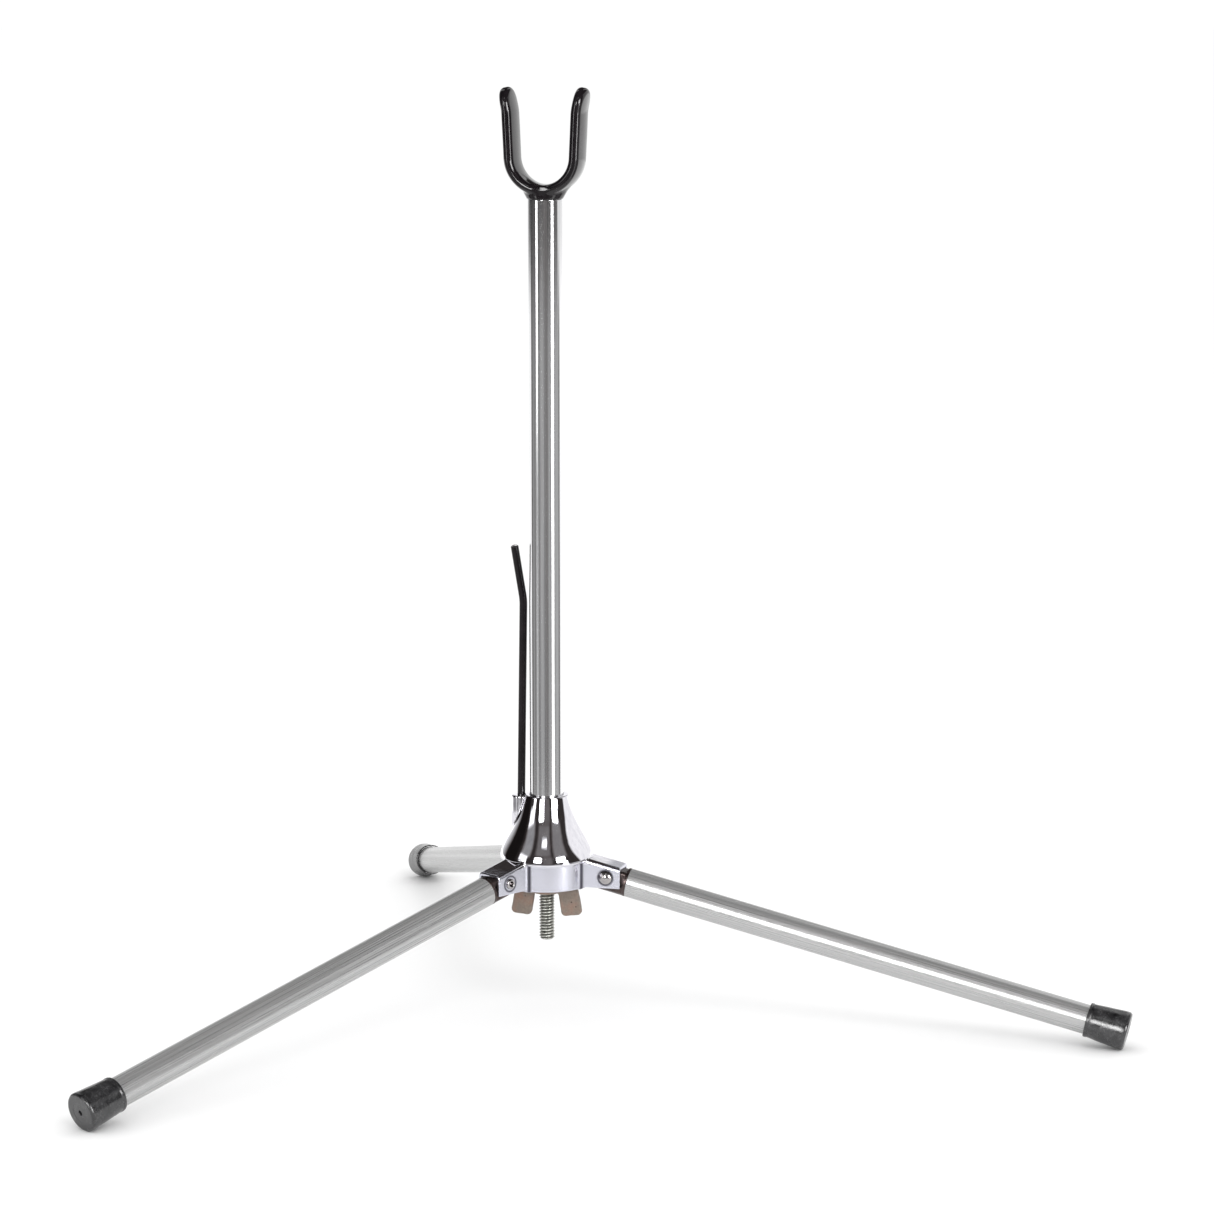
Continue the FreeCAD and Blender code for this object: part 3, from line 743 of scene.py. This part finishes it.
def make_leg_tubes():
    """Tubes 1 mm thick that end inside the caps."""
    end = LEG_LENGTH - CAP_WALL
    inner = TUBE_R - 1.0
    corners = [(TUBE_R, TUBE_START, 0.25), (TUBE_R, end, 0.2), (inner, end, 0.2), (inner, TUBE_START, 0.2)]
    outline = rounded_outline(corners, 3)
    points, faces = turned(outline, 96)
    for number in range(1, LEG_COUNT + 1):
        place = leg_place(number) @ ALONG_LEG
        piece = make_piece(f"tube_{number}", points, faces, place, offset=900.0 * number)
        finish_piece(piece, f"leg_{number}", "leg_aluminium", LEG_METAL, f"leg_tube_{number}")


def make_foot_caps():
    """Tapered rubber caps: a bead at the mouth, a rounded rim, a vent, and a flat worn at the floor."""
    mouth, end = LEG_LENGTH - CAP_LENGTH, LEG_LENGTH
    bead = CAP_MOUTH_R + 0.25
    flank = [
        (CAP_MOUTH_R + 0.1 + (CAP_END_R - CAP_MOUTH_R - 0.1) * t, mouth + 1.8 + (CAP_LENGTH - 4.0) * t)
        for t in np.linspace(0.06, 1, 26)
    ]
    bore = TUBE_R + 0.02
    corners = [(bore, end - CAP_WALL), (bore, mouth, 0.15), (bead, mouth, 0.5), (bead, mouth + 1.2, 0.3)]
    corners += [(CAP_MOUTH_R + 0.08, mouth + 1.7, 0.5), *flank, (CAP_END_R, end, 1.2)]
    corners += [(4.2, end), (3.9, end - 0.12, 0.1), (1.1, end - 0.12, 0.1), (VENT_R, end - 0.35)]
    corners += [(VENT_R, end - 2.4), (0.02, end - 2.4), (0.02, end - CAP_WALL)]
    outline = rounded_outline(corners, 6)
    points, faces = turned(outline, 120)
    for number in range(1, LEG_COUNT + 1):
        x, y, z = points.T
        swell = 0.07 * noise(x, y, z, 3.4, number) + 0.03 * noise(x, y, z, 1.1, number + 20)
        outer = np.clip((np.hypot(x, y) - TUBE_R - 0.3) / 0.5, 0, 1)
        scale = 1 + (swell * outer - 0.04 * outer) / np.maximum(np.hypot(x, y), 1)
        shaped = np.stack([x * scale, y * scale, z], 1)
        place = as_array(leg_place(number) @ ALONG_LEG)
        world = shaped @ place[:3, :3].T + place[:3, 3]
        world[:, 2] = np.maximum(world[:, 2], 0)
        cap = make_piece(f"cap_{number}", world, faces, local=shaped, offset=70.0 * number)
        finish_piece(cap, f"leg_{number}", "cap_rubber", RUBBER, f"foot_cap_{number}")


# ---- mast and clamp ----
def make_mast():
    inner = MAST_R - 1.5
    outer_corners = [(MAST_R, MAST_LOW, 0.3), (MAST_R, MAST_TOP, 0.3)]
    inner_corners = [(inner, MAST_TOP, 0.2), (inner, MAST_LOW, 0.2)]
    points, faces = turned(rounded_outline(outer_corners + inner_corners, 3), 112)
    finish_piece(make_piece("mast", points, faces), "mast", "mast_aluminium", MAST_METAL, "mast_tube")


STUD_R = 3.175
PITCH = 25.4 / 20
THREAD_DEPTH = 0.74


def make_stud():
    """The stud with its right-hand thread, cut to a chamfer at the lower end."""
    around, per_pitch = 44, 12
    top = MAST_LOW + 6.0
    rows = int((top - STUD_LOW) / PITCH * per_pitch)
    z = np.linspace(STUD_LOW, top, rows)[:, None]
    angle = (2 * math.pi * np.arange(around) / around)[None, :]
    phase = ((z - STUD_LOW) / PITCH - angle / (2 * math.pi)) % 1.0
    wave = np.abs(2 * phase - 1)
    depth = np.clip((wave - 0.24) / 0.66, 0, 1)
    radius = STUD_R - THREAD_DEPTH * depth
    x, y = np.cos(angle) * STUD_R, np.sin(angle) * STUD_R
    radius = radius - 0.03 * np.abs(noise(x, y, z + 0 * angle, 0.9, 5))
    radius = np.minimum(radius, STUD_R - 0.85 + (z - STUD_LOW) * 1.1)
    points = np.stack([radius * np.cos(angle), radius * np.sin(angle), z + 0 * angle], -1).reshape(-1, 3)
    faces = ring_faces(rows, around, False).tolist()
    low_centre, top_centre = len(points), len(points) + 1
    points = np.concatenate([points, [(0, 0, STUD_LOW + 0.12), (0, 0, top)]])
    last = (rows - 1) * around
    for j in range(around):
        following = (j + 1) % around
        faces.append([low_centre, following, j])
        faces.append([top_centre, last + j, last + following])
    stud = make_piece("stud", points, faces)
    # The groove depth, which the thread's material turns into painted shade.
    groove = stud.data.attributes.new("groove", "FLOAT", "POINT")
    groove.data.foreach_set("value", np.append(depth.ravel(), [0.4, 0]).astype(np.float32))
    finish_piece(stud, "mast", "stud_zinc", THREAD, "threaded_stud")


def make_washers():
    top, low = edge_mm("flat_washer", 2, 1), edge_mm("flat_washer", 2, 0)
    hole = STUD_HOLE_R
    flat = rounded_outline([(8.0, low, 0.35), (8.0, top, 0.2), (hole, top, 0.2), (hole, low, 0.3)])
    points, faces = turned(flat, 72)
    washer = make_piece("washer_flat", points, faces)
    finish_piece(washer, "washers", "washer_zinc", WASHER_METAL, "flat_washer")
    top, low = edge_mm("lock_washer", 2, 1), edge_mm("lock_washer", 2, 0)
    low, top = low + 0.1, top - 0.1
    section = rounded_outline([(6.1, low, 0.3), (6.1, top, 0.2), (hole, top, 0.2), (hole, low, 0.2)])
    gap = math.radians(5)
    stations = 70
    angle = np.linspace(gap, 2 * math.pi - gap, stations)[:, None]
    radius, height = section[:, 0][None, :], section[:, 1][None, :]
    # The split ring springs apart: one end stands a little higher than the other.
    height = height + 0.1 * (angle / math.pi - 1)
    points = np.stack([radius * np.cos(angle), radius * np.sin(angle), height], -1).reshape(-1, 3)
    around = len(section)
    faces = ring_faces(stations, around, False)[:, ::-1].tolist()
    faces.append(list(range(around)))
    faces.append(list(range((stations - 1) * around, stations * around))[::-1])
    split = make_piece("washer_lock", points, faces)
    finish_piece(split, "washers", "washer_zinc", WASHER_METAL, "lock_washer")


WING_TURN = math.radians(5.0)
# Outline of one wing: (distance from the axis, height below the nut's top, corner rounding).
WING_CORNERS = [(5.0, -6.0), (3.8, -0.8), (7.2, -1.2, 1.5), (12.2, -3.4, 1.2), (13.3, -5.2, 1.0)]
WING_CORNERS += [(15.15, -15.15, 1.7), (6.5, -16.15, 1.7)]
WING_OUTLINE = [tuple(corner) for corner in rounded_outline(WING_CORNERS, 3)]


def polygon_distance(u, v, corners):
    """Distance to a closed polygon in a plane, negative inside."""
    near = np.full(np.shape(u), 1e9)
    inside = np.zeros(np.shape(u), bool)
    for (ax, ay), (bx, by) in zip(corners, corners[1:] + corners[:1]):
        ex, ey = bx - ax, by - ay
        share = np.clip(((u - ax) * ex + (v - ay) * ey) / (ex * ex + ey * ey), 0, 1)
        near = np.minimum(near, np.hypot(u - ax - share * ex, v - ay - share * ey))
        if ey != 0:
            spans = (v >= min(ay, by)) & (v < max(ay, by))
            inside ^= spans & (u < ax + (v - ay) * ex / ey)
    return np.where(inside, -near, near)


def nut_field(x, y, z):
    """The cast wing nut in the frame, with its boss up."""
    c, s = math.cos(WING_TURN), math.sin(WING_TURN)
    along, across, down = np.abs(x * c + y * s), y * c - x * s, z - NUT_TOP
    radius = np.hypot(x, y)
    boss = meet(radius - (6.4 + 0.15 * (down + 1.4)), np.abs(down + 3.1) - 3.1, 0.5)
    plate = polygon_distance(along, down, WING_OUTLINE)
    plate = meet(plate, np.abs(across) - (1.5 - 0.012 * (along - 7)), 0.7)
    nut = join(boss, plate, 1.3)
    nut = nut + 0.05 * noise(x, y, z, 0.9, 3) + 0.04 * noise(x, y, z, 0.35, 4)
    return meet(nut, STUD_R + 0.05 - radius, 0.25)


def make_wing_nut():
    nut = from_field("nut", "wing_nut", nut_field, 0.24)
    finish_piece(nut, "wing_nut", "nut_cast", NUT_METAL, "wing_nut")


# ---- fork ----
FORK_HALF = 2.5
FORK_HALF_WIDTH = 7.5
FORK_BEND_R = 13.65
FORK_BEND_Z = MAST_TOP + 1.1 + 5.0 + 11.15
PRONG_SPLAY = math.radians(2.6)
TIP_SPLAY = math.radians(8.5)
PRONG_LENGTH = 17.3
TIP_BEND_R = 20.0
TIP_STRAIGHT = 0.6
BOOT_R = 7.3
BOOT_H = 5.1
BOOT_TOP_X = 10.3


def lean(angle):
    """The direction in the XZ plane that leans from +Z towards +X."""
    return as_array((math.sin(angle), math.cos(angle)))


def fork_field(x, y, z):
    """A flat bar bent to a U with splayed, turned-out, round-ended prongs, and the boot under it."""
    x = np.abs(x)
    height = z - FORK_BEND_Z
    up = lean(PRONG_SPLAY)
    across = as_array((up[1], -up[0]))
    shoulder = across * FORK_BEND_R
    bend_off = np.abs(np.hypot(x, height) - FORK_BEND_R)
    beyond = (x - shoulder[0]) * up[0] + (height - shoulder[1]) * up[1]
    straight_off = np.abs((x - shoulder[0]) * across[0] + (height - shoulder[1]) * across[1])
    flare_start = shoulder + up * PRONG_LENGTH
    flare_centre = flare_start + across * TIP_BEND_R
    flare_off = np.abs(np.hypot(x - flare_centre[0], height - flare_centre[1]) - TIP_BEND_R)
    tip_up = lean(PRONG_SPLAY + TIP_SPLAY)
    tip_across = as_array((tip_up[1], -tip_up[0]))
    tip_start = flare_centre - tip_across * TIP_BEND_R
    past_tip = (x - tip_start[0]) * tip_up[0] + (height - tip_start[1]) * tip_up[1]
    tip_off = np.abs((x - tip_start[0]) * tip_across[0] + (height - tip_start[1]) * tip_across[1])
    off = np.where(beyond < 0, bend_off, straight_off)
    off = np.where(beyond > PRONG_LENGTH, flare_off, off)
    off = np.where((past_tip > 0) & (beyond > PRONG_LENGTH), tip_off, off)
    over = np.maximum(past_tip - TIP_STRAIGHT, 0) * (beyond > PRONG_LENGTH)
    wide = np.hypot(over, y)
    crown = 0.7 * (y / FORK_HALF_WIDTH) ** 2
    bar = meet(off + crown - FORK_HALF, wide - FORK_HALF_WIDTH, 2.0)
    rise = np.clip((z - MAST_TOP) / BOOT_H, 0, 1.2)
    half_x = BOOT_R + (BOOT_TOP_X - BOOT_R) * rise
    boot = (np.hypot(x / half_x, y / BOOT_R) - 1) * BOOT_R
    boot = meet(boot, MAST_TOP - z, 0.45)
    boot = np.maximum(boot, z - MAST_TOP - BOOT_H)
    whole = join(bar, boot, 0.7)
    # The dip leaves the skin a little uneven.
    return whole + 0.05 * noise(x, y, z, 4.0, 11)


def make_fork():
    fork = from_field("fork_skin", "fork_coating", fork_field, 0.36)
    finish_piece(fork, "mast", "fork_vinyl", VINYL, "fork_coating")


# ---- string clip ----
CLIP_NECK_R = 9.7
CLIP_TIP_R = 13.45
CLIP_NECK_Z = 82.0
CLIP_TIP_Z = 104.5
CLIP_BEND_R = 25.0
CLIP_SEAT = 6.0


def clip_path():
    """Centre line of the clip rod in the XZ plane, from inside its boss to the tip, and its directions."""
    base = as_array((-CLIP_BASE_R, BOSS_TOP))
    neck = as_array((-CLIP_NECK_R, BOSS_TOP + CLIP_NECK_Z))
    tip = as_array((-CLIP_TIP_R, BOSS_TOP + CLIP_TIP_Z))
    up = (neck - base) / np.linalg.norm(neck - base)
    out = (tip - neck) / np.linalg.norm(tip - neck)
    turn = math.acos(float(up @ out))
    run = CLIP_BEND_R * math.tan(turn / 2)
    centre = neck - up * run + as_array((-up[1], up[0])) * CLIP_BEND_R
    straight = CLIP_SEAT + CLIP_NECK_Z - run
    points = [base - up * CLIP_SEAT + up * straight * t for t in np.linspace(0, 0.995, 24)]
    start = neck - up * run - centre
    for angle in np.linspace(0, turn, 10):
        c, s = math.cos(angle), math.sin(angle)
        points.append(centre + as_array((c * start[0] - s * start[1], s * start[0] + c * start[1])))
    last = points[-1]
    points += [last + (tip - last) * t for t in np.linspace(0.15, 1, 8)]
    return as_array(points)


def swept(path, radii, around):
    """A round skin along a path in the XZ plane with a radius at each station, closed at both ends."""
    heading = np.gradient(path, axis=0)
    heading /= np.linalg.norm(heading, axis=1, keepdims=True)
    side = np.stack([heading[:, 1], -heading[:, 0]], 1)
    angle = 2 * math.pi * np.arange(around) / around
    points = []
    for place, across, radius in zip(path, side, radii):
        x = place[0] + across[0] * radius * np.cos(angle)
        z = place[1] + across[1] * radius * np.cos(angle)
        points.append(np.stack([x, radius * np.sin(angle), z], 1))
    faces = ring_faces(len(path), around, False).tolist()
    faces.append(list(range(around))[::-1])
    faces.append(list(range((len(path) - 1) * around, len(path) * around)))
    return np.concatenate(points), faces


def make_clip():
    """The sprung wire in its black sleeve, with the wire's cut end showing at the tip."""
    path = clip_path()
    end = path[-1]
    out = (path[-1] - path[-2]) / np.linalg.norm(path[-1] - path[-2])
    sleeve_end = [(-0.5, CLIP_R), (-0.2, CLIP_R - 0.08), (-0.05, CLIP_R - 0.25), (0.0, CLIP_R - 0.45)]
    stations = [*path[:-1], *[end + out * step for step, _ in sleeve_end]]
    radii = [CLIP_R] * (len(path) - 1) + [radius for _, radius in sleeve_end]
    points, faces = swept(as_array(stations), radii, 28)
    sleeve = make_piece("clip_sleeve", points, faces)
    finish_piece(sleeve, "base", "clip_vinyl", VINYL, "clip_rod")
    wire_end = [(-3.0, 1.1), (0.12, 1.1), (0.26, 1.02), (0.32, 0.88)]
    points, faces = swept(as_array([end + out * step for step, _ in wire_end]), [r for _, r in wire_end], 28)
    finish_piece(make_piece("clip_wire", points, faces), "base", "fork_steel", BARE_STEEL)


def paint_hidden_nodes():
    """Materials for the carried-over nodes that sit inside the mast and the fork's skin."""
    for node, material in (("mast_foot_plug", PLUG_METAL), ("fork_core", BARE_STEEL)):
        obj = frame["nodes"][node]
        obj.data.materials.clear()
        obj.data.materials.append(material)


# ---- studio ----
CAMERA_TURN = math.radians(14.95)
CAMERA_PITCH = math.radians(9.51)
CAMERA_PLACE = (0.4112, -1.4428, 0.4212)
CAMERA_LENS = 109.57
DOME_R = 6.0
DOME_ROWS = 120
DOME_COLUMNS = 360
SKY_STRENGTH = 1.06
KEY_WATTS = 18
KEY_PLACE = (1.6, -1.6, 2.2)
KEY_AIM = (0, 0, 0.1)


def make_camera():
    camera = bpy.data.objects.new("camera", bpy.data.cameras.new("camera"))
    bpy.context.scene.collection.objects.link(camera)
    camera.data.sensor_width = 36.0
    camera.data.lens = CAMERA_LENS
    camera.data.clip_start, camera.data.clip_end = 0.05, 100.0
    camera.location = CAMERA_PLACE
    camera.rotation_euler = (math.pi / 2 - CAMERA_PITCH, 0, CAMERA_TURN)
    bpy.context.scene.camera = camera


def glossy_only(obj):
    """Makes an object part of the studio that shows only in shiny surfaces."""
    obj.visible_camera = False
    obj.visible_diffuse = False
    obj.visible_transmission = False
    obj.visible_shadow = False
    obj.visible_volume_scatter = False


def glow_material(name):
    """A material that only emits, and its emission node."""
    material = bpy.data.materials.new(name)
    material.use_nodes = True
    tree = material.node_tree
    tree.nodes.clear()
    glow = add_node(tree, "ShaderNodeEmission")
    out = add_node(tree, "ShaderNodeOutputMaterial")
    tree.links.new(glow.outputs[0], out.inputs["Surface"])
    return material, tree, glow


def band_between(value, low, high, soft):
    """1 between low and high and 0 outside, with soft ends."""
    return np.clip((value - low) / soft + 0.5, 0, 1) * np.clip((high - value) / soft + 0.5, 0, 1)


# Lit windows of the studio as shiny surfaces see them, in degrees: (azimuth from the camera's side, half
# width, lowest elevation, highest elevation, brightness, softness of the edges).
STUDIO_WINDOWS = [
    (-64, 11, 12, 28, 1.6, 4),
    (-58, 4, -3, 12, 8.0, 3),
    (-22, 9, 9, 28, 16.0, 3),
    (38, 11, 9, 28, 16.0, 3),
    (49, 5, -4, 12, 12.0, 3),
    (-61, 14, 26, 50, 0.28, 8),
    (-10, 22, 33, 50, 0.16, 8),
    (-8, 9, 46, 56, 2.0, 2),
    (40, 18, 27, 50, 0.20, 8),
    (3, 12, 0, 31, 0.12, 6),
    (-150, 7, 26, 60, 1.2, 3),
    (152, 9, 26, 60, 1.2, 3),
]
# What each band adds to the floor's glow, below the horizon: (azimuth, half width, brightness).
FLOOR_BANDS = [
    (-104, 5, -0.15),
    (-88, 6, 0.14),
    (-60, 8, 0.42),
    (-24, 13, 0.20),
    (9, 6, -0.06),
    (26, 7, 0.22),
    (49, 9, 2.2),
    (80, 15, 0.26),
    (106, 4, -0.12),
]
FLOOR_GLOW = 0.25
WALL_GLOW = 0.04
SWEEP_GLOW = 1.3
DARK_WALL = 0.03
RIGHT_WALL_GLOW = 1.05
LEFT_WALL_GLOW = 1.1
# Degrees: where the walls end below, where the sweep starts, and past the end of any azimuth.
WALL_FOOT = -9
SWEEP_START = 110
ALL_ROUND = 999


def studio_glow(azimuth, elevation):
    """Brightness of the studio in a direction given in degrees."""
    off = np.abs(azimuth)
    wall = WALL_GLOW - DARK_WALL * band_between(azimuth, -128, -82, 12)
    right_wall = band_between(azimuth, 92 - 0.4 * elevation, ALL_ROUND, 5)
    right_wall = right_wall * band_between(elevation, WALL_FOOT, 38 - 0.21 * (off - 90), 4)
    left_wall = np.clip((-azimuth - 122) / 40, 0, 1) * band_between(elevation, WALL_FOOT, 19, 4)
    wall = wall + RIGHT_WALL_GLOW * right_wall + LEFT_WALL_GLOW * left_wall
    floor = FLOOR_GLOW + SWEEP_GLOW * band_between(off, SWEEP_START, ALL_ROUND, 5)
    for middle, half, strength in FLOOR_BANDS:
        floor = floor + strength * band_between(azimuth, middle - half, middle + half, 7)
    glow = np.where(elevation < -1, floor, wall)
    for middle, half, low, high, strength, soft in STUDIO_WINDOWS:
        across = band_between(azimuth, middle - half, middle + half, soft)
        glow = glow + strength * across * band_between(elevation, low, high, soft)
    return glow


def make_dome():
    """The studio's walls as shiny surfaces see them: dark, with lit windows and a white sweep behind."""
    columns = np.arange(-180, 180, 360 / DOME_COLUMNS)
    azimuth, elevation = np.meshgrid(columns, np.linspace(-89, 89, DOME_ROWS))
    turn = np.radians(azimuth) + CAMERA_TURN - math.pi / 2
    rise = np.radians(elevation)
    unit = np.stack([np.cos(turn) * np.cos(rise), np.sin(turn) * np.cos(rise), np.sin(rise)], -1)
    faces = ring_faces(DOME_ROWS, DOME_COLUMNS, False).tolist()
    faces.append(list(range(DOME_COLUMNS)))
    faces.append(list(range((DOME_ROWS - 1) * DOME_COLUMNS, DOME_ROWS * DOME_COLUMNS)))
    mesh = bpy.data.meshes.new("studio_walls")
    mesh.from_pydata((unit.reshape(-1, 3) * DOME_R).tolist(), [], faces)
    lit = mesh.attributes.new("glow", "FLOAT", "POINT")
    lit.data.foreach_set("value", studio_glow(azimuth, elevation).astype(np.float32).ravel())
    dome = bpy.data.objects.new("studio_walls", mesh)
    bpy.context.scene.collection.objects.link(dome)
    material, tree, glow = glow_material("studio_walls")
    strength = add_node(tree, "ShaderNodeAttribute", attribute_name="glow").outputs["Fac"]
    tree.links.new(strength, glow.inputs["Strength"])
    tint = ramp(tree, strength, [(0.0, (1.0, 0.84, 0.80)), (0.3, (1.0, 1.0, 1.0))])
    tree.links.new(tint, glow.inputs["Color"])
    mesh.materials.append(material)
    glossy_only(dome)


def make_lights():
    world = bpy.data.worlds.new("world")
    bpy.context.scene.world = world
    world.use_nodes = True
    background = world.node_tree.nodes["Background"]
    background.inputs["Color"].default_value = (1, 1, 1, 1)
    background.inputs["Strength"].default_value = SKY_STRENGTH
    make_dome()
    key = bpy.data.lights.new("key", "AREA")
    key.shape = "RECTANGLE"
    key.size, key.size_y = 1.2, 1.6
    key.energy = KEY_WATTS
    lamp = bpy.data.objects.new("key", key)
    bpy.context.scene.collection.objects.link(lamp)
    lamp.location = KEY_PLACE
    lamp.rotation_euler = (Vector(KEY_AIM) - lamp.location).to_track_quat("-Z", "Y").to_euler()
    lamp.visible_camera = False
    lamp.visible_glossy = False


PAPER_R = 0.385
FLOOR_R = 40.0


def make_floor():
    """White paper: a disc that shiny surfaces see, and the rest, which they don't."""
    material, tree, shader = new_material("floor")
    wire(tree, shader, Base_Color=(0.95, 0.95, 0.95), Roughness=0.9, Specular_IOR_Level=0.0)
    steps = 128
    angle = 2 * math.pi * np.arange(steps) / steps
    ring = np.stack([np.cos(angle), np.sin(angle), 0 * angle], 1)
    points = np.concatenate([ring * PAPER_R, ring * FLOOR_R])
    beyond = ring_faces(2, steps, False)[:, ::-1].tolist()
    for name, faces in (("floor", [list(range(steps))]), ("floor_beyond", beyond)):
        mesh = bpy.data.meshes.new(name)
        mesh.from_pydata(points.tolist(), [], faces)
        mesh.materials.append(material)
        obj = bpy.data.objects.new(name, mesh)
        bpy.context.scene.collection.objects.link(obj)
        obj.visible_glossy = name == "floor"


make_camera()
make_hub()
make_rivets()
make_knuckles()
make_leg_tubes()
make_foot_caps()
make_mast()
make_stud()
make_washers()
make_wing_nut()
make_fork()
make_clip()
paint_hidden_nodes()
make_floor()
make_lights()
bpy.context.scene.view_settings.view_transform = "Standard"
